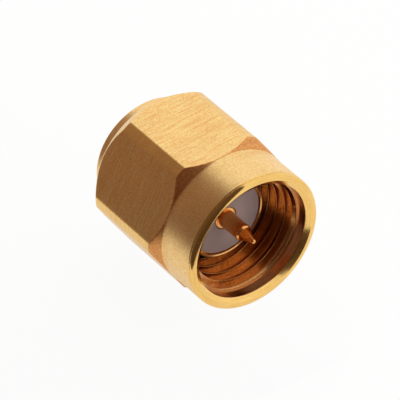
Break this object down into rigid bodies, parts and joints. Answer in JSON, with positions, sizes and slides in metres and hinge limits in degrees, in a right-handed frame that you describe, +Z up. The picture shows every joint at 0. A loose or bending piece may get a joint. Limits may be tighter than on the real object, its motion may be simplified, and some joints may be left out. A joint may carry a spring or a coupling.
{
  "type": "coaxial terminator",
  "caption": "Plug-type coaxial terminator: a captive hexagon nut with a round collar turns on a body that holds a centre pin, a bead and a matched load.",
  "frame": {"origin": "on the axis, in the reference plane where the mating outer conductor meets the ferrule's front face", "axes": "+X along the axis and out of the mouth, +Z up, square to the hexagon flat opposite the one the part lies on"},
  "size_m": [0.0094, 0.0088, 0.008],
  "materials": {
    "nut_gold": "fine-turned brass, gold plated, satin",
    "body_gold": "turned brass, gold plated",
    "ring_copper": "copper alloy spring strip",
    "silicone": "moulded silicone rubber",
    "white_bead": "machined white fluoropolymer",
    "contact_gold": "turned copper alloy, gold plated, polished",
    "sleeve_brass": "turned brass",
    "ceramic": "alumina ceramic with a resistive film",
    "cap_nickel": "nickel-plated end cap"
  },
  "bodies": {
    "load_body": {"body": "body_gold", "retaining_ring": "ring_copper", "gasket": "silicone", "insulator": "white_bead", "centre_contact": "contact_gold", "matching_sleeve": "sleeve_brass", "resistor_rod": "ceramic", "front_terminal": "cap_nickel", "rear_terminal": "cap_nickel", "rear_plug": "body_gold"},
    "nut": {"coupling_nut": "nut_gold"}
  },
  "joints": [
    {"name": "nut_spin", "type": "hinge", "parent": "load_body", "child": "nut", "pos_m": [0, 0, 0], "axis": [1, 0, 0], "continuous": true}
  ]
}
